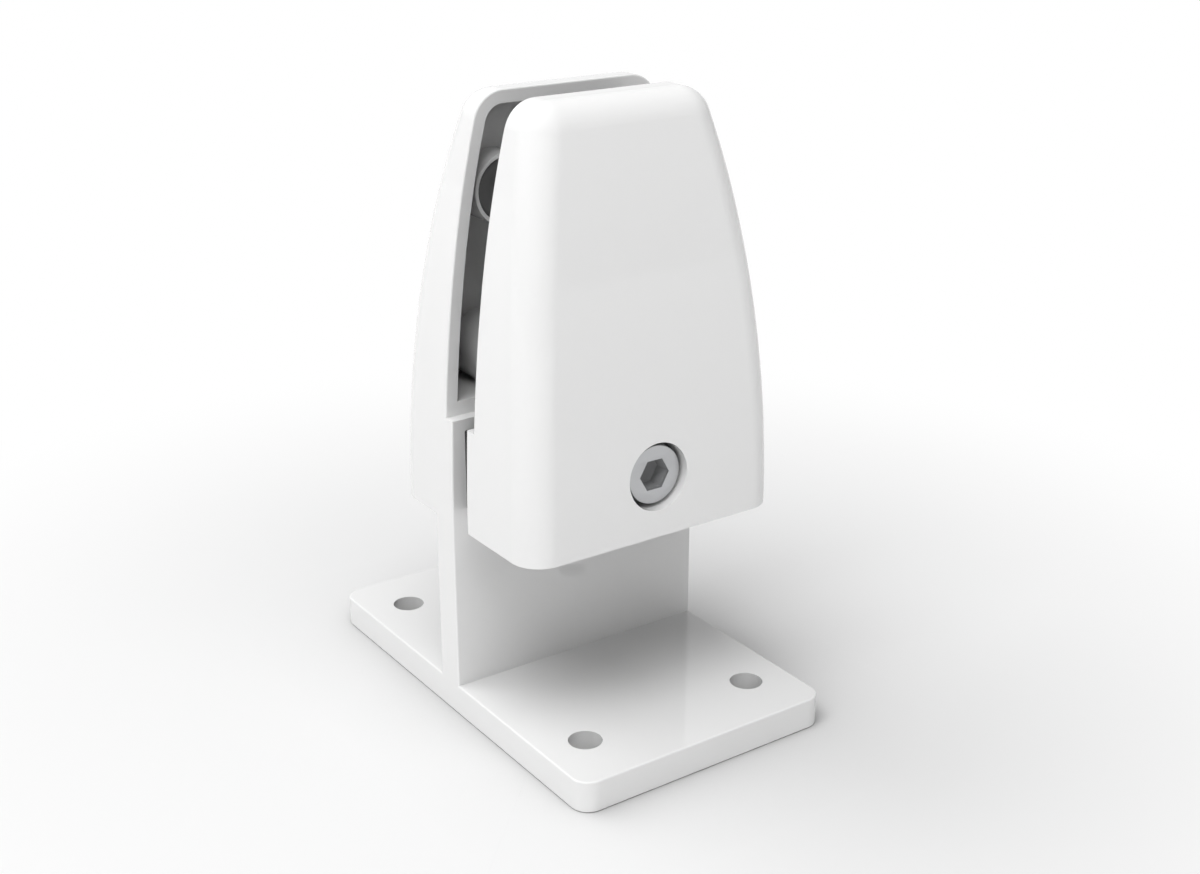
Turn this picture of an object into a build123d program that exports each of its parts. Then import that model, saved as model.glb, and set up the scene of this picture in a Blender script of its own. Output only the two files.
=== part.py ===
from build123d import *
import os
from math import asin, degrees, hypot, sqrt

os.makedirs("parts", exist_ok=True)

# Desk screen clamp, in millimetres. +Z is up and the underside of the base is z = 0.
# X runs along the screen that is clamped, and the front jaw moves along -Y.
# The origin is the centre of the base's underside, and the web stands over it.

# Base plate
BASE_WIDTH = 50.0
BASE_LENGTH = 81.8
BASE_THICKNESS = 5.6
BASE_CORNER_R = 3.2
BASE_HOLE_D = 5.7
BASE_HOLE_SPACING_X = 33.8
BASE_HOLE_SPACING_Y = 59.5

# Web and heels
WEB_THICKNESS = 5.8
WEB_FREE_HEIGHT = 30.7
HEEL_HEIGHT = 18.0
HEEL_GAP = 4.6

# Jaws
SLOT_WIDTH = 8.9
SHELL_HEIGHT = 52.2
JAW_TOP_WIDTH = 33.0
FRONT_JAW_DEPTH = 16.8
FRONT_JAW_TOP_DEPTH = 7.5
REAR_JAW_DEPTH = 16.0
REAR_JAW_TOP_DEPTH = 6.7
JAW_WALL = 2.2
JAW_FLOOR = 2.4
JAW_EDGE_R = 5.2
JAW_CORNER_R = 5.6
CAVITY_EDGE_R = 2.4

# Small rounding on the sharp edges of the castings
EDGE_BREAK = 0.3

# Cups cast inside each jaw, and the rubber pads in them
CUP_D = 12.0
CUP_BORE_D = 10.8
CUP_BORE_DEPTH = 3.5
CUP_SETBACK = 1.75
CUP_SPACING_X = 21.4
CUP_ABOVE_LEDGE = 7.4
CUP_BELOW_TOP = 16.4
PAD_CLEARANCE = 0.1
PAD_RECESS = 0.3
PAD_CHAMFER = 0.4

# Clamp screw, M6 with a socket head
SCREW_D = 6.0
SCREW_LENGTH = 30.0
SCREW_ABOVE_HEEL = 10.5
SCREW_HEAD_D = 10.0
SCREW_HEAD_HEIGHT = 6.0
SCREW_HEAD_SINK = 1.15
SCREW_HEAD_EDGE_R = 0.5
SCREW_TIP_CHAMFER = 0.9
SOCKET_ACROSS_FLATS = 5.0
SOCKET_DEPTH = 3.0
COUNTERBORE_D = 11.5
SCREW_HOLE_CLEARANCE = 0.3
THREAD_CLEARANCE = 0.05
TAPPED_HOLE_SPARE = 1.5

# Heel spacer
SPACER_SIDE_INSET = 2.75
SPACER_END_INSET = 2.0

# Heights and planes that follow from the sizes above
JAW_BOTTOM = BASE_THICKNESS + WEB_FREE_HEIGHT
LEDGE = JAW_BOTTOM + HEEL_HEIGHT
JAW_TOP = LEDGE + SHELL_HEIGHT
JAW_HEIGHT = JAW_TOP - JAW_BOTTOM
SCREW_Z = JAW_BOTTOM + SCREW_ABOVE_HEEL
HALF_WIDTH = BASE_WIDTH / 2
WEB_FRONT = -WEB_THICKNESS / 2
HEEL_FACE = WEB_FRONT - HEEL_GAP
MID_PLANE = WEB_FRONT - HEEL_GAP / 2
REAR_RIM = MID_PLANE + SLOT_WIDTH / 2
FRONT_RIM = MID_PLANE - SLOT_WIDTH / 2
CUT = 2.0


def side_arc(inset, bottom, top):
    """Right side of a jaw in front view: part of an ellipse, upright at the jaw's bottom."""
    rise = JAW_HEIGHT / sqrt(1 - (JAW_TOP_WIDTH / BASE_WIDTH) ** 2)
    lean = JAW_HEIGHT * HALF_WIDTH**2 / (rise**2 * JAW_TOP_WIDTH / 2)
    wide = HALF_WIDTH - inset
    narrow = JAW_TOP_WIDTH / 2 - inset * hypot(1, lean)
    inset_rise = JAW_HEIGHT / sqrt(1 - (narrow / wide) ** 2)
    start = degrees(asin((bottom - JAW_BOTTOM) / inset_rise))
    end = degrees(asin((top - JAW_BOTTOM) / inset_rise))
    return EllipticalCenterArc((0, JAW_BOTTOM), wide, inset_rise, start, arc_size=end - start)


def jaw_outline(inset, bottom, top):
    """A jaw in front view, with sides that bow in towards a flat top."""
    right = side_arc(inset, bottom, top)
    left = mirror(right, Plane.YZ)
    floor = Line(left @ 0, right @ 0)
    roof = Line(left @ 1, right @ 1)
    return make_face([floor, right, roof, left])


def depth_arc_radius(depth, top_depth):
    """Radius of a jaw's curved face in side view."""
    drop = depth - top_depth
    return (JAW_HEIGHT**2 + drop**2) / (2 * drop)


def jaw_depth(depth, top_depth, z):
    """Distance from the rim to the curved face at a height."""
    radius = depth_arc_radius(depth, top_depth)
    return depth - radius + sqrt(radius**2 - (z - JAW_BOTTOM) ** 2)


def jaw_block(depth, top_depth, inset, bottom, edge_r, corner_r, start=0.0):
    """A solid jaw with its rim on y = start and its curved face towards +Y, all its back edges rounded."""
    top = JAW_TOP - inset
    front_view = Plane.XZ * jaw_outline(inset, bottom, top)
    slab = extrude(Pos(0, start, 0) * front_view, amount=depth - start, dir=(0, 1, 0))
    middle = (bottom + top) / 2
    back = [(jaw_depth(depth, top_depth, z) - inset, z) for z in (bottom, middle, top)]
    curve = ThreePointArc(*back)
    floor = Line((start - CUT, bottom), back[0])
    roof = Line(back[2], (start - CUT, top))
    side_view = Plane.YZ * make_face([floor, curve, roof, Line(roof @ 1, floor @ 0)])
    block = slab & extrude(side_view, amount=BASE_WIDTH, both=True)
    block = fillet(block.edges().filter_by(Axis.Y).group_by(Axis.Z)[-1], corner_r)
    rounded = block.faces().sort_by(Axis.Y)[-1].edges().sort_by(Axis.Z)[1:]
    return fillet(rounded, edge_r)


def cup_places():
    """Centres of a jaw's four cups in front view, with a name for each."""
    places = {}
    for row, z in (("lower", LEDGE + CUP_ABOVE_LEDGE), ("upper", JAW_TOP - CUP_BELOW_TOP)):
        for side, x in (("left", -CUP_SPACING_X / 2), ("right", CUP_SPACING_X / 2)):
            places[f"{row}_{side}"] = (x, z)
    return places


def rod(diameter, start, end, x, z):
    """A cylinder along Y between two places."""
    return Pos(x, (start + end) / 2, z) * Rot(90, 0, 0) * Cylinder(diameter / 2, end - start)


def jaw_shell(depth, top_depth):
    """A jaw as it is cast: solid heel below the ledge, open shell with four cups above it."""
    block = jaw_block(depth, top_depth, 0, JAW_BOTTOM, JAW_EDGE_R, JAW_CORNER_R)
    rim_edges = block.faces().sort_by(Axis.Y)[0].edges().sort_by(Axis.Z)[1:]
    block = fillet(rim_edges, EDGE_BREAK)

    cavity_bottom = LEDGE + JAW_FLOOR
    cavity = jaw_block(
        depth,
        top_depth,
        JAW_WALL,
        cavity_bottom,
        CAVITY_EDGE_R,
        JAW_CORNER_R - JAW_WALL,
        start=-CUT,
    )
    shell = block - cavity
    for x, z in cup_places().values():
        boss = rod(CUP_D, CUP_SETBACK, depth, x, z) & block
        shell += boss
    for x, z in cup_places().values():
        shell -= rod(CUP_BORE_D, CUP_SETBACK - CUT, CUP_SETBACK + CUP_BORE_DEPTH, x, z)
    return shell


def base_plate():
    """Flat plate with rounded corners and four plain screw holes."""
    plate = extrude(RectangleRounded(BASE_WIDTH, BASE_LENGTH, BASE_CORNER_R), BASE_THICKNESS)
    plate = fillet(plate.faces().filter_by(Axis.Z).edges(), EDGE_BREAK)
    holes = GridLocations(BASE_HOLE_SPACING_X, BASE_HOLE_SPACING_Y, 2, 2)
    drill = Pos(0, 0, BASE_THICKNESS / 2) * Cylinder(BASE_HOLE_D / 2, BASE_THICKNESS + 2 * CUT)
    return plate - holes * drill


def web_plate():
    """Upright plate: straight sides from inside the base, then the jaw's own curve up to the ledge."""
    right = side_arc(0, JAW_BOTTOM, LEDGE)
    left = mirror(right, Plane.YZ)
    root = BASE_THICKNESS - 2 * EDGE_BREAK
    foot = Line((-HALF_WIDTH, root), (HALF_WIDTH, root))
    roof = Line(left @ 1, right @ 1)
    outline = make_face([foot, Line(foot @ 1, right @ 0), right, roof, left, Line(left @ 0, foot @ 0)])
    plate = extrude(Pos(0, WEB_FRONT, 0) * (Plane.XZ * outline), amount=WEB_THICKNESS, dir=(0, 1, 0))
    return fillet(plate.edges().filter_by(Axis.Z), EDGE_BREAK)


def bracket():
    """Base, web and rear jaw in one casting, with the tapped hole for the screw."""
    jaw = Pos(0, REAR_RIM, 0) * jaw_shell(REAR_JAW_DEPTH, REAR_JAW_TOP_DEPTH)
    body = base_plate() + web_plate() + jaw
    tapped_d = SCREW_D + 2 * THREAD_CLEARANCE
    return body - rod(tapped_d, WEB_FRONT - CUT, SCREW_TIP + TAPPED_HOLE_SPARE, 0, SCREW_Z)


def front_jaw():
    """The moving jaw, with the heel that faces the web and the counterbored screw hole."""
    heel_view = Plane.XZ * jaw_outline(0, JAW_BOTTOM, LEDGE)
    root = FRONT_RIM - 2 * EDGE_BREAK
    heel = extrude(Pos(0, root, 0) * heel_view, amount=HEEL_FACE - root, dir=(0, 1, 0))
    side_edges = heel.edges().group_by(Axis.Y)[-1].sort_by(Axis.Z)[1:3]
    heel = fillet(side_edges, EDGE_BREAK)
    shell = mirror(jaw_shell(FRONT_JAW_DEPTH, FRONT_JAW_TOP_DEPTH), Plane.XZ)
    body = Pos(0, FRONT_RIM, 0) * shell + heel
    clearance_d = SCREW_D + 2 * SCREW_HOLE_CLEARANCE
    body -= rod(clearance_d, SCREW_SEAT - CUT, HEEL_FACE + CUT, 0, SCREW_Z)
    return body - rod(COUNTERBORE_D, FRONT_RIM - 2 * FRONT_JAW_DEPTH, SCREW_SEAT, 0, SCREW_Z)


def clamp_screw():
    """Socket head cap screw. Its thread is left as a plain shank."""
    head = rod(SCREW_HEAD_D, SCREW_SEAT - SCREW_HEAD_HEIGHT, SCREW_SEAT, 0, SCREW_Z)
    head = fillet(head.edges().sort_by(Axis.Y)[0], SCREW_HEAD_EDGE_R)
    shank = rod(SCREW_D, SCREW_SEAT, SCREW_TIP, 0, SCREW_Z)
    shank = chamfer(shank.edges().sort_by(Axis.Y)[-1], SCREW_TIP_CHAMFER)
    key = Plane.XZ * RegularPolygon(SOCKET_ACROSS_FLATS / 2, 6, major_radius=False)
    mouth = SCREW_SEAT - SCREW_HEAD_HEIGHT
    socket = extrude(Pos(0, mouth, SCREW_Z) * key, amount=SOCKET_DEPTH, dir=(0, 1, 0))
    return head + shank - socket


def heel_spacer():
    """Rubber block that fills the gap between the heel and the web, round the screw."""
    width = BASE_WIDTH - 2 * SPACER_SIDE_INSET
    height = HEEL_HEIGHT - 2 * SPACER_END_INSET
    block = Pos(0, WEB_FRONT - HEEL_GAP / 2, JAW_BOTTOM + HEEL_HEIGHT / 2) * Box(width, HEEL_GAP, height)
    return block - rod(SCREW_D + 2 * SCREW_HOLE_CLEARANCE, HEEL_FACE - CUT, WEB_FRONT + CUT, 0, SCREW_Z)


def grip_pad(x, z):
    """Rubber disc for a cup, in a rear jaw that has its rim on y = 0."""
    floor = CUP_SETBACK + CUP_BORE_DEPTH
    pad = rod(CUP_BORE_D - 2 * PAD_CLEARANCE, CUP_SETBACK + PAD_RECESS, floor, x, z)
    return chamfer(pad.edges().sort_by(Axis.Y)[0], PAD_CHAMFER)


# The screw's seat and tip, from the front jaw's curved face
SCREW_FACE = FRONT_RIM - jaw_depth(FRONT_JAW_DEPTH, FRONT_JAW_TOP_DEPTH, SCREW_Z)
SCREW_SEAT = SCREW_FACE + SCREW_HEAD_SINK + SCREW_HEAD_HEIGHT
SCREW_TIP = SCREW_SEAT + SCREW_LENGTH

nodes = {
    "bracket": bracket(),
    "front_jaw": front_jaw(),
    "clamp_screw": clamp_screw(),
    "heel_spacer": heel_spacer(),
}
for place, (x, z) in cup_places().items():
    pad = grip_pad(x, z)
    nodes[f"rear_pad_{place}"] = Pos(0, REAR_RIM, 0) * pad
    nodes[f"front_pad_{place}"] = Pos(0, FRONT_RIM, 0) * mirror(pad, Plane.XZ)

for name, solid in nodes.items():
    export_step(solid, f"parts/{name}.step")
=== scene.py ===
from math import cos, radians, tau

import bpy
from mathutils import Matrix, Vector


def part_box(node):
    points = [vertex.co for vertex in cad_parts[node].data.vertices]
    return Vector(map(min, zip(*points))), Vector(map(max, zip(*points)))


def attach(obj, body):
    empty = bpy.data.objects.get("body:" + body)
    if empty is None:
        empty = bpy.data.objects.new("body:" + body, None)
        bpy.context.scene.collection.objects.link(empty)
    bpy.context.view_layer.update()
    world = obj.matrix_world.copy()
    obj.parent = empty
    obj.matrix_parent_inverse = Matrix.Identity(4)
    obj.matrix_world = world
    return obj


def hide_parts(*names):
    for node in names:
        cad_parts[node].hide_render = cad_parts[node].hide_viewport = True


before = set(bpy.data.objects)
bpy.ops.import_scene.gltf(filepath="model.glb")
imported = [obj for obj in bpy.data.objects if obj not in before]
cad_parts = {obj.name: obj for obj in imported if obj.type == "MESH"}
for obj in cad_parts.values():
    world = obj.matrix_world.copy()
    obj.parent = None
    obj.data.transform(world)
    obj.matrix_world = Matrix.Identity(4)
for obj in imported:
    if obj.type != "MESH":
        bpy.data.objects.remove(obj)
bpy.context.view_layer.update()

# Camera. It stands to the front left of the clamp and looks down on it, far
# enough away that the upright edges stay close to parallel.
CAMERA_PLACE = (-0.1494, -0.2243, 0.1502)
CAMERA_TURN = -34.84
CAMERA_TILT_DOWN = 21.27
CAMERA_LENS = 50.05
SENSOR_WIDTH = 36.0
NEAREST_SEEN = 0.005

camera_data = bpy.data.cameras.new("camera")
camera_data.sensor_fit = "HORIZONTAL"
camera_data.sensor_width = SENSOR_WIDTH
camera_data.lens = CAMERA_LENS
camera_data.clip_start = NEAREST_SEEN
camera = bpy.data.objects.new("camera", camera_data)
camera.location = CAMERA_PLACE
camera.rotation_euler = (radians(90 - CAMERA_TILT_DOWN), 0, radians(CAMERA_TURN))
bpy.context.scene.collection.objects.link(camera)
bpy.context.scene.camera = camera
bpy.context.scene.view_settings.view_transform = "Standard"


# Floor. A wide sheet of matt white board, which shows the soft shadow that the lamps cast
# from the clamp, has painted shade darkening its colour close to the clamp, and fades out
# to plain white away from it.
FLOOR_SIZE = 12.0
FLOOR_WHITE = 0.87
FADE_START = 0.05
FADE_END = 0.18
# How far from the clamp and how strongly the painted shade darkens the board's colour.
PAINTED_SHADE_REACH = 0.02
PAINTED_SHADE_DEPTH = 0.5


class Shade:
    """A value, colour or shader in a node tree. Maths written on it adds its Math nodes."""

    def __init__(self, tree, socket=None):
        self.tree = tree
        self.socket = socket

    def node(self, kind, settings=None, inputs=None, output=0):
        """Adds a node: its settings come first, then the values or links of its sockets."""
        made = self.tree.nodes.new(kind)
        for name, value in (settings or {}).items():
            setattr(made, name, value)
        for name, value in (inputs or {}).items():
            if isinstance(value, Shade):
                self.tree.links.new(value.socket, made.inputs[name])
            else:
                made.inputs[name].default_value = value
        return Shade(self.tree, made.outputs[output] if made.outputs else None)

    def maths(self, operation, first, second):
        return self.node("ShaderNodeMath", {"operation": operation}, {0: first, 1: second})

    def __add__(self, other):
        return self.maths("ADD", self, other)

    def __radd__(self, other):
        return self.maths("ADD", other, self)

    def __sub__(self, other):
        return self.maths("SUBTRACT", self, other)

    def __rsub__(self, other):
        return self.maths("SUBTRACT", other, self)

    def __mul__(self, other):
        return self.maths("MULTIPLY", self, other)

    def __rmul__(self, other):
        return self.maths("MULTIPLY", other, self)


def finish(name, recipe):
    """A material made by a recipe, which takes an empty tree and returns the surface's shader."""
    material = bpy.data.materials.new(name)
    material.use_nodes = True
    material.node_tree.nodes.clear()
    tree = Shade(material.node_tree)
    tree.node("ShaderNodeOutputMaterial", inputs={"Surface": recipe(tree)})
    return material


def coat(piece, material):
    """Gives a piece, or a node of the solid model, one material all over."""
    piece.data.materials.clear()
    piece.data.materials.append(material)


def seen_directly(tree):
    """1 for a ray from the camera, a mirror surface or a clear one, and 0 for the rest."""
    camera_ray = tree.node("ShaderNodeLightPath", output="Is Camera Ray")
    mirror_ray = tree.node("ShaderNodeLightPath", output="Is Glossy Ray")
    clear_ray = tree.node("ShaderNodeLightPath", output="Is Transmission Ray")
    return camera_ray + mirror_ray + clear_ray


def board_recipe(tree):
    place = tree.node("ShaderNodeTexCoord", output="Object")
    away = tree.node("ShaderNodeVectorMath", {"operation": "LENGTH"}, {0: place}, output="Value")
    fade = tree.node(
        "ShaderNodeMapRange",
        {"interpolation_type": "SMOOTHSTEP"},
        {"Value": away, "From Min": FADE_START, "From Max": FADE_END},
    )
    # Painted shade: an ambient occlusion node darkens the board's colour close to the clamp, for rays from
    # the camera and from mirrors only.
    painted_shade = tree.node("ShaderNodeAmbientOcclusion", inputs={"Distance": PAINTED_SHADE_REACH}, output="AO")
    white = FLOOR_WHITE * tree.maths("POWER", painted_shade, PAINTED_SHADE_DEPTH * seen_directly(tree))
    colour = tree.node("ShaderNodeCombineColor", inputs={"Red": white, "Green": white, "Blue": white})
    board = tree.node("ShaderNodeBsdfDiffuse", inputs={"Color": colour})
    plain_white = tree.node("ShaderNodeEmission", inputs={"Color": (1, 1, 1, 1), "Strength": 1.0})
    faded = fade * seen_directly(tree)
    return tree.node("ShaderNodeMixShader", inputs={0: faded, 1: board, 2: plain_white})


bpy.ops.object.select_all(action="DESELECT")
bpy.ops.mesh.primitive_plane_add(size=FLOOR_SIZE, location=(0, 0, 0))
floor = bpy.context.object
floor.name = "floor"
coat(floor, finish("floor_board", board_recipe))


# Light. Four wide soft lamps stand round the clamp, the strongest overhead, and
# the coat mirrors the pale room and not the lamps. Light goes on from one pale
# surface to the next only once, which keeps the insides of the jaws dark.
ROOM_FILL = 0.02
ROOM_MIRRORED = 0.8
DIFFUSE_BOUNCES = 1
LAMP_SIZE = 0.9
LAMPS = {
    "overhead_lamp": (Vector((-0.36, -0.2, 1.13)), 11.4),
    "back_left_lamp": (Vector((-0.42, 0.74, 0.85)), 5.2),
    "low_left_lamp": (Vector((-0.98, -0.56, 0.41)), 2.5),
    "front_lamp": (Vector((0, -0.85, 0.85)), 2.6),
}

room = bpy.data.worlds.new("room")
room.use_nodes = True
room.node_tree.nodes.clear()
room_tree = Shade(room.node_tree)
mirrored = room_tree.node("ShaderNodeLightPath", output="Is Glossy Ray")
room_strength = ROOM_FILL + (1 - ROOM_FILL) * seen_directly(room_tree) - (1 - ROOM_MIRRORED) * mirrored
room_shine = room_tree.node(
    "ShaderNodeBackground",
    inputs={"Color": (1, 1, 1, 1), "Strength": room_strength},
)
room_tree.node("ShaderNodeOutputWorld", inputs={"Surface": room_shine})
bpy.context.scene.world = room
bpy.context.scene.cycles.diffuse_bounces = DIFFUSE_BOUNCES

for lamp_name, (lamp_place, lamp_power) in LAMPS.items():
    lamp_data = bpy.data.lights.new(lamp_name, "AREA")
    lamp_data.size = LAMP_SIZE
    lamp_data.energy = lamp_power
    lamp = bpy.data.objects.new(lamp_name, lamp_data)
    lamp.location = lamp_place
    lamp.visible_glossy = False
    lamp.rotation_euler = (-lamp_place).to_track_quat("-Z", "Y").to_euler()
    bpy.context.scene.collection.objects.link(lamp)


# Bracket. Base plate, web and rear jaw are one aluminium casting with a thick
# white coat, smooth enough to mirror what stands on it.
COAT_WHITE = (0.905, 0.905, 0.903, 1)
COAT_IOR = 1.8
COAT_ROUGHNESS = 0.015
WIPE_ROUGHNESS = 0.02
WIPE_SCALE = 45.0
PEEL_SCALE = 700.0
PEEL_HEIGHT = 0.000001


def white_coat_recipe(tree):
    place = tree.node("ShaderNodeTexCoord", output="Object")
    peel = tree.node("ShaderNodeTexNoise", inputs={"Vector": place, "Scale": PEEL_SCALE, "Detail": 1.0})
    wipe = tree.node("ShaderNodeTexNoise", inputs={"Vector": place, "Scale": WIPE_SCALE, "Detail": 3.0})
    relief = tree.node("ShaderNodeBump", inputs={"Height": peel, "Distance": PEEL_HEIGHT, "Strength": 1.0})
    return tree.node(
        "ShaderNodeBsdfPrincipled",
        inputs={
            "Base Color": COAT_WHITE,
            "Roughness": COAT_ROUGHNESS + WIPE_ROUGHNESS * wipe,
            "IOR": COAT_IOR,
            "Normal": relief,
        },
    )


white_coat = finish("white_coat", white_coat_recipe)
coat(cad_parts["bracket"], white_coat)


# Front jaw. The moving half of the clamp, cast and coated like the bracket. The
# screw goes through its heel and pulls it towards the web.
coat(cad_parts["front_jaw"], white_coat)


# Clamp screw. A socket head cap screw in plain steel: the head is turned flat
# and broached for a key, and the shank has a rolled thread over its whole length.
SCREW_HEAD_HEIGHT = 0.006
SCREW_HEAD_CHAMFER = 0.00015
SOCKET_ACROSS_FLATS = 0.005
SOCKET_DEPTH = 0.0032
SOCKET_CONE = 0.0005
SHARP_EDGE_BREAK = 0.00006
SHARP_EDGE_ANGLE = 40
SMOOTH_ANGLE = 35
THREAD_PITCH = 0.001
THREAD_DEPTH = 0.00061
THREAD_CREST = 0.000125
THREAD_ROOT = 0.00025
THREAD_STEPS = 48
SPARE_TURNS = 4
SHANK_D = 0.006
SHANK_TIP_CHAMFER = 0.0009
ROUND_STEPS = 128
OVERSHOOT = 0.0005
MERGE_DISTANCE = 0.0000002
WELD_DISTANCE = 0.000002
END_FACE_SLOPE = 0.9
STEEL_GREY = (0.5, 0.505, 0.515, 1)
SOCKET_GREY = (0.34, 0.343, 0.35, 1)
SOCKET_DULLNESS = 0.8
STEEL_ROUGHNESS = 0.34
GRAIN_ROUGHNESS = 0.1
SOCKET_ROUGHNESS = 0.3
GRAIN_SCALE = 1800.0
GRAIN_HEIGHT = 0.000004
TURNING_PITCH = 0.00022
TURNING_SHARE = 0.5

screw_low, screw_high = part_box("clamp_screw")
screw_axis_z = (screw_low.z + screw_high.z) / 2
screw_seat_y = screw_low.y + SCREW_HEAD_HEIGHT
shank_length = screw_high.y - screw_seat_y
socket_corner_r = SOCKET_ACROSS_FLATS / 2 / cos(radians(30))


def work(piece, kind, **settings):
    """Gives a piece one modifier and applies it."""
    bpy.context.view_layer.objects.active = piece
    step = piece.modifiers.new(kind.lower(), kind)
    for name, value in settings.items():
        setattr(step, name, value)
    bpy.ops.object.modifier_apply(modifier=step.name)


def cut_away(piece, cutter, operation="DIFFERENCE"):
    """Takes a second piece out of the first one, or joins or crosses them, and throws it away."""
    work(piece, "BOOLEAN", operation=operation, object=cutter, solver="EXACT")
    bpy.data.objects.remove(cutter)


def edit_faces(piece, test):
    """Opens a piece in edit mode with only the faces selected that pass a test."""
    bpy.context.view_layer.objects.active = piece
    bpy.ops.object.mode_set(mode="EDIT")
    bpy.ops.mesh.select_mode(type="FACE")
    bpy.ops.mesh.select_all(action="DESELECT")
    bpy.ops.object.mode_set(mode="OBJECT")
    for face in piece.data.polygons:
        face.select = test(face)
    bpy.ops.object.mode_set(mode="EDIT")


def close_piece(piece, name):
    """Leaves edit mode, settles a piece's place into its mesh and smooths its round faces."""
    bpy.ops.object.mode_set(mode="OBJECT")
    bpy.ops.object.select_all(action="DESELECT")
    piece.select_set(True)
    bpy.context.view_layer.objects.active = piece
    bpy.ops.object.transform_apply(location=True, rotation=True, scale=True)
    bpy.ops.object.shade_smooth_by_angle(angle=radians(SMOOTH_ANGLE))
    piece.name = name
    piece.select_set(False)


def screw_head():
    """Flat turned head with its mouth at the low end, and the broached hexagon in it."""
    bpy.ops.mesh.primitive_cylinder_add(
        vertices=ROUND_STEPS,
        radius=(screw_high.x - screw_low.x) / 2,
        depth=SCREW_HEAD_HEIGHT,
        location=(0, 0, -SCREW_HEAD_HEIGHT / 2),
    )
    head = bpy.context.object
    edit_faces(head, lambda face: face.normal.z < -END_FACE_SLOPE)
    bpy.ops.mesh.bevel(offset=SCREW_HEAD_CHAMFER, segments=4)
    bpy.ops.object.mode_set(mode="OBJECT")
    bpy.ops.mesh.primitive_cylinder_add(
        vertices=6,
        radius=socket_corner_r,
        depth=SOCKET_DEPTH + OVERSHOOT,
        location=(0, 0, -SCREW_HEAD_HEIGHT + (SOCKET_DEPTH - OVERSHOOT) / 2),
        rotation=(0, 0, radians(30)),
    )
    broach = bpy.context.object
    edit_faces(broach, lambda face: face.normal.z > END_FACE_SLOPE)
    bpy.ops.mesh.extrude_region_move(TRANSFORM_OT_translate={"value": (0, 0, SOCKET_CONE)})
    bpy.ops.mesh.merge(type="CENTER")
    bpy.ops.object.mode_set(mode="OBJECT")
    cut_away(head, broach)
    work(
        head,
        "BEVEL",
        width=SHARP_EDGE_BREAK,
        segments=2,
        limit_method="ANGLE",
        angle_limit=radians(SHARP_EDGE_ANGLE),
    )
    head.select_set(True)
    bpy.ops.object.transform_apply(location=True, rotation=True, scale=True)
    return head


def screw_shank():
    """Thread wound from the outline of one pitch, closed at its ends and pointed at its tip."""
    root_r = SHANK_D / 2 - THREAD_DEPTH
    flank = (THREAD_PITCH - THREAD_CREST - THREAD_ROOT) / 2
    bpy.ops.mesh.primitive_plane_add(
        size=THREAD_ROOT,
        location=(root_r, 0, -SPARE_TURNS / 2 * THREAD_PITCH),
    )
    shank = bpy.context.object
    bpy.ops.object.transform_apply(location=True, rotation=True, scale=True)
    bpy.ops.object.mode_set(mode="EDIT")
    bpy.ops.mesh.select_mode(type="VERT")
    bpy.ops.mesh.select_all(action="SELECT")
    bpy.ops.mesh.merge(type="CENTER")
    outline = (
        (THREAD_DEPTH, flank),
        (0, THREAD_CREST),
        (-THREAD_DEPTH, flank),
        (0, THREAD_ROOT),
    )
    for outward, along in outline:
        bpy.ops.mesh.extrude_vertices_move(TRANSFORM_OT_translate={"value": (outward, 0, along)})
    bpy.ops.object.mode_set(mode="OBJECT")
    work(
        shank,
        "SCREW",
        screw_offset=THREAD_PITCH,
        iterations=round(shank_length / THREAD_PITCH) + SPARE_TURNS,
        steps=THREAD_STEPS,
        render_steps=THREAD_STEPS,
    )
    for height, outwards in ((-OVERSHOOT, -1), (shank_length + OVERSHOOT, 1)):
        bpy.ops.object.mode_set(mode="EDIT")
        bpy.ops.mesh.select_mode(type="VERT")
        bpy.ops.mesh.select_all(action="SELECT")
        bpy.ops.mesh.remove_doubles(threshold=MERGE_DISTANCE)
        bpy.ops.mesh.bisect(
            plane_co=(0, 0, height),
            plane_no=(0, 0, outwards),
            use_fill=True,
            clear_outer=True,
            threshold=MERGE_DISTANCE,
        )
        bpy.ops.mesh.select_all(action="SELECT")
        bpy.ops.mesh.normals_make_consistent(inside=False)
        bpy.ops.object.mode_set(mode="OBJECT")
    bpy.ops.mesh.primitive_cylinder_add(
        vertices=ROUND_STEPS,
        radius=SHANK_D / 2,
        depth=shank_length + OVERSHOOT,
        location=(0, 0, (shank_length - OVERSHOOT) / 2),
    )
    blank = bpy.context.object
    edit_faces(blank, lambda face: face.normal.z > END_FACE_SLOPE)
    bpy.ops.mesh.bevel(offset=SHANK_TIP_CHAMFER, segments=1)
    bpy.ops.object.mode_set(mode="OBJECT")
    cut_away(shank, blank, "INTERSECT")
    return shank


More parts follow.
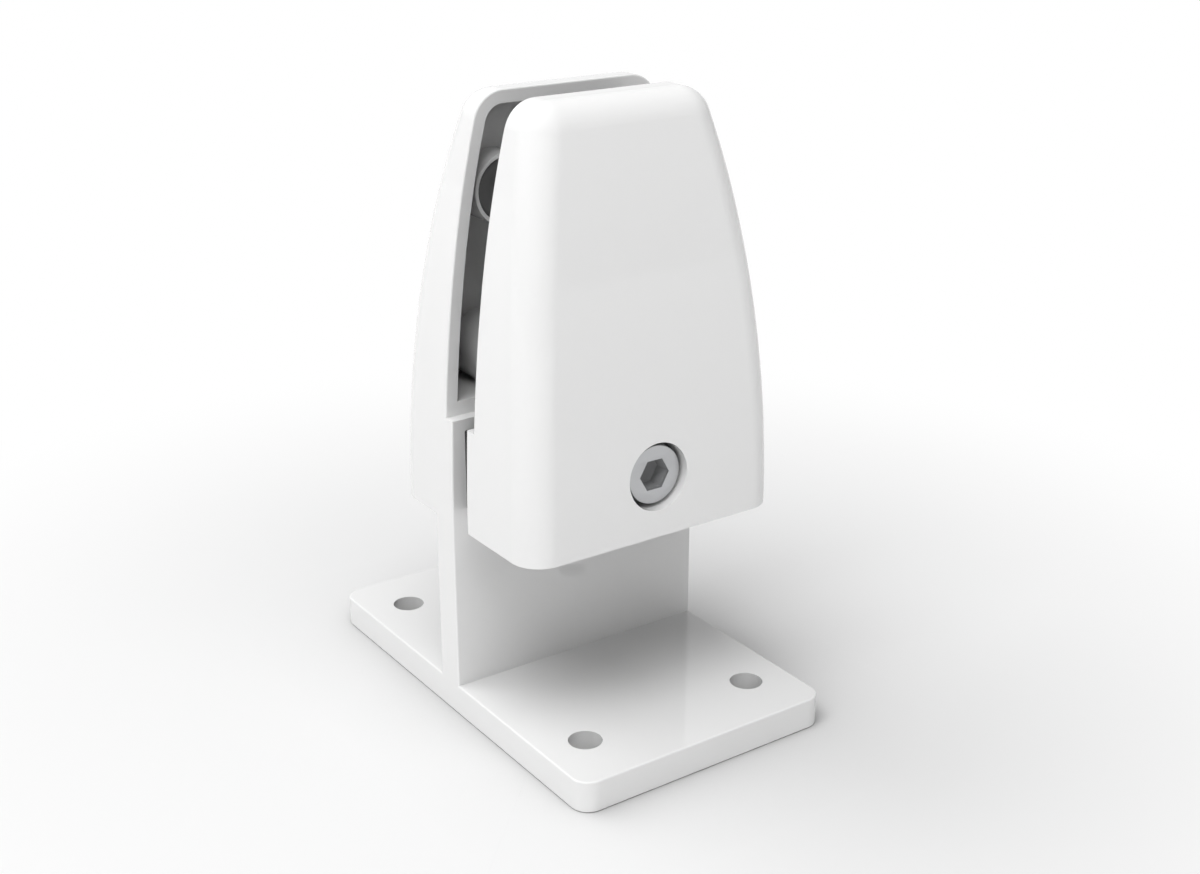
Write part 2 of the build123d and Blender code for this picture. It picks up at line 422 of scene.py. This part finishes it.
def screw_steel_recipe(tree):
    place = tree.node("ShaderNodeTexCoord", output="Object")
    radial = tree.node(
        "ShaderNodeMapping",
        inputs={"Vector": place, "Location": (0, 0, -screw_axis_z), "Scale": (1, 0, 1)},
    )
    radius = tree.node("ShaderNodeVectorMath", {"operation": "LENGTH"}, {0: radial}, output="Value")
    along = tree.node("ShaderNodeSeparateXYZ", inputs={"Vector": place}, output="Y")
    rings = radius.maths("SINE", radius * (tau / TURNING_PITCH), 0)
    grain = tree.node("ShaderNodeTexNoise", inputs={"Vector": place, "Scale": GRAIN_SCALE, "Detail": 2.0})
    mouth_y = screw_seat_y - SCREW_HEAD_HEIGHT
    in_socket = tree.node(
        "ShaderNodeMapRange",
        inputs={
            "Value": along,
            "From Min": mouth_y + SHARP_EDGE_BREAK,
            "From Max": mouth_y + SOCKET_DEPTH / 3,
        },
    )
    in_socket = in_socket * in_socket.maths("LESS_THAN", radius, socket_corner_r)
    in_socket = in_socket * in_socket.maths("LESS_THAN", along, screw_seat_y - OVERSHOOT)
    colour = tree.node(
        "ShaderNodeMix",
        {"data_type": "RGBA"},
        {0: in_socket, 6: STEEL_GREY, 7: SOCKET_GREY},
        output=2,
    )
    relief = tree.node(
        "ShaderNodeBump",
        inputs={"Height": grain + TURNING_SHARE * rings, "Distance": GRAIN_HEIGHT, "Strength": 1.0},
    )
    return tree.node(
        "ShaderNodeBsdfPrincipled",
        inputs={
            "Base Color": colour,
            "Metallic": 1 - SOCKET_DULLNESS * in_socket,
            "Roughness": STEEL_ROUGHNESS + GRAIN_ROUGHNESS * grain + SOCKET_ROUGHNESS * in_socket,
            "Normal": relief,
        },
    )


bpy.ops.object.select_all(action="DESELECT")
clamp_screw = screw_head()
cut_away(clamp_screw, screw_shank(), "UNION")
work(clamp_screw, "WELD", merge_threshold=WELD_DISTANCE)
clamp_screw.rotation_euler = (radians(-90), 0, 0)
clamp_screw.location = (0, screw_seat_y, screw_axis_z)
close_piece(clamp_screw, "socket_screw")
coat(clamp_screw, finish("screw_steel", screw_steel_recipe))
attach(clamp_screw, "clamp_screw")
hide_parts("clamp_screw")


# Heel spacer. A block moulded in black rubber, with soft edges, which the screw
# passes through and the heel of the moving jaw presses on.
RUBBER_BLACK = (0.012, 0.012, 0.013, 1)
RUBBER_BLACK_CHALKY = (0.03, 0.03, 0.031, 1)
RUBBER_ROUGHNESS = 0.55
RUBBER_GRAIN_ROUGHNESS = 0.2
RUBBER_GRAIN_SCALE = 2500.0
RUBBER_GRAIN_HEIGHT = 0.00002
CHALK_SCALE = 260.0
SPACER_CORNER_R = 0.0003
SPACER_EDGE_R = 0.0001
SPACER_EDGE_ANGLE = 50
SPACER_HOLE_D = 0.0066
SPACER_HOLE_STEPS = 64


def rubber(deep, chalky):
    """A recipe for moulded rubber, with the fine grain of the mould and chalky patches on it."""

    def recipe(tree):
        place = tree.node("ShaderNodeTexCoord", output="Object")
        grain = tree.node(
            "ShaderNodeTexNoise",
            inputs={"Vector": place, "Scale": RUBBER_GRAIN_SCALE, "Detail": 3.0},
        )
        patches = tree.node(
            "ShaderNodeTexNoise",
            inputs={"Vector": place, "Scale": CHALK_SCALE, "Detail": 4.0},
        )
        colour = tree.node(
            "ShaderNodeMix",
            {"data_type": "RGBA"},
            {0: patches, 6: deep, 7: chalky},
            output=2,
        )
        relief = tree.node(
            "ShaderNodeBump",
            inputs={"Height": grain, "Distance": RUBBER_GRAIN_HEIGHT, "Strength": 1.0},
        )
        return tree.node(
            "ShaderNodeBsdfPrincipled",
            inputs={
                "Base Color": colour,
                "Roughness": RUBBER_ROUGHNESS + RUBBER_GRAIN_ROUGHNESS * grain,
                "Normal": relief,
            },
        )

    return recipe


def rounded_corners(piece, radius):
    """Rounds the four corners that a block shows when it is seen along Y."""
    bpy.ops.object.mode_set(mode="OBJECT")
    for edge in piece.data.edges:
        first, second = (piece.data.vertices[index].co for index in edge.vertices)
        edge.select = abs(first.y - second.y) > max(abs(first.x - second.x), abs(first.z - second.z))
    for face in piece.data.polygons:
        face.select = False
    bpy.ops.object.mode_set(mode="EDIT")
    bpy.ops.mesh.select_mode(type="EDGE")
    bpy.ops.mesh.bevel(offset=radius, segments=8)
    bpy.ops.object.mode_set(mode="OBJECT")


spacer_low, spacer_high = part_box("heel_spacer")
bpy.ops.mesh.primitive_cube_add(
    size=1,
    location=(spacer_low + spacer_high) / 2,
    scale=spacer_high - spacer_low,
)
heel_spacer = bpy.context.object
bpy.ops.object.transform_apply(location=True, rotation=True, scale=True)
edit_faces(heel_spacer, lambda face: False)
rounded_corners(heel_spacer, SPACER_CORNER_R)
bpy.ops.mesh.primitive_cylinder_add(
    vertices=SPACER_HOLE_STEPS,
    radius=SPACER_HOLE_D / 2,
    depth=2 * (spacer_high.y - spacer_low.y),
    location=(0, (spacer_low.y + spacer_high.y) / 2, screw_axis_z),
    rotation=(radians(90), 0, 0),
)
cut_away(heel_spacer, bpy.context.object)
work(
    heel_spacer,
    "BEVEL",
    width=SPACER_EDGE_R,
    segments=4,
    limit_method="ANGLE",
    angle_limit=radians(SPACER_EDGE_ANGLE),
)
close_piece(heel_spacer, "rubber_spacer")
coat(heel_spacer, finish("black_rubber", rubber(RUBBER_BLACK, RUBBER_BLACK_CHALKY)))
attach(heel_spacer, "bracket")
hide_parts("heel_spacer")


# Grip pads. Eight discs moulded in grey rubber and pressed into the cups of
# the jaws, with a soft rim and a slightly dished face for the screen.
RUBBER_GREY = (0.12, 0.12, 0.12, 1)
RUBBER_GREY_CHALKY = (0.18, 0.18, 0.18, 1)
PAD_RIM_R = 0.0004
PAD_RIM_WIDTH = 0.0014
PAD_DISH = 0.00025
PAD_STEPS = 96
DISH_FACE_SLOPE = 0.99

pad_nodes = [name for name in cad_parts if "_pad_" in name]
pad_low, pad_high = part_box(pad_nodes[0])
pad_radius = (pad_high.x - pad_low.x) / 2
pad_depth = pad_high.y - pad_low.y


def grip_pad():
    """One disc on the origin, with its grip face towards +Z."""
    bpy.ops.mesh.primitive_cylinder_add(vertices=PAD_STEPS, radius=pad_radius, depth=pad_depth)
    disc = bpy.context.object
    edit_faces(disc, lambda face: face.normal.z > END_FACE_SLOPE)
    bpy.ops.mesh.bevel(offset=PAD_RIM_R, segments=4)
    edit_faces(disc, lambda face: face.normal.z > DISH_FACE_SLOPE)
    bpy.ops.mesh.inset(thickness=PAD_RIM_WIDTH)
    bpy.ops.mesh.inset(thickness=2 * PAD_DISH)
    bpy.ops.transform.translate(value=(0, 0, -PAD_DISH))
    bpy.ops.object.mode_set(mode="OBJECT")
    return disc


pad_pattern = grip_pad()
grey_rubber = finish("grey_rubber", rubber(RUBBER_GREY, RUBBER_GREY_CHALKY))
for node_name in pad_nodes:
    low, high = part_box(node_name)
    jaw = "bracket" if node_name.startswith("rear") else "front_jaw"
    pad = pad_pattern.copy()
    pad.data = pad_pattern.data.copy()
    bpy.context.scene.collection.objects.link(pad)
    pad.location = (low + high) / 2
    pad.rotation_euler = (radians(90 if jaw == "bracket" else -90), 0, 0)
    close_piece(pad, node_name.replace("_pad_", "_grip_"))
    coat(pad, grey_rubber)
    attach(pad, jaw)
    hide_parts(node_name)
bpy.data.objects.remove(pad_pattern)
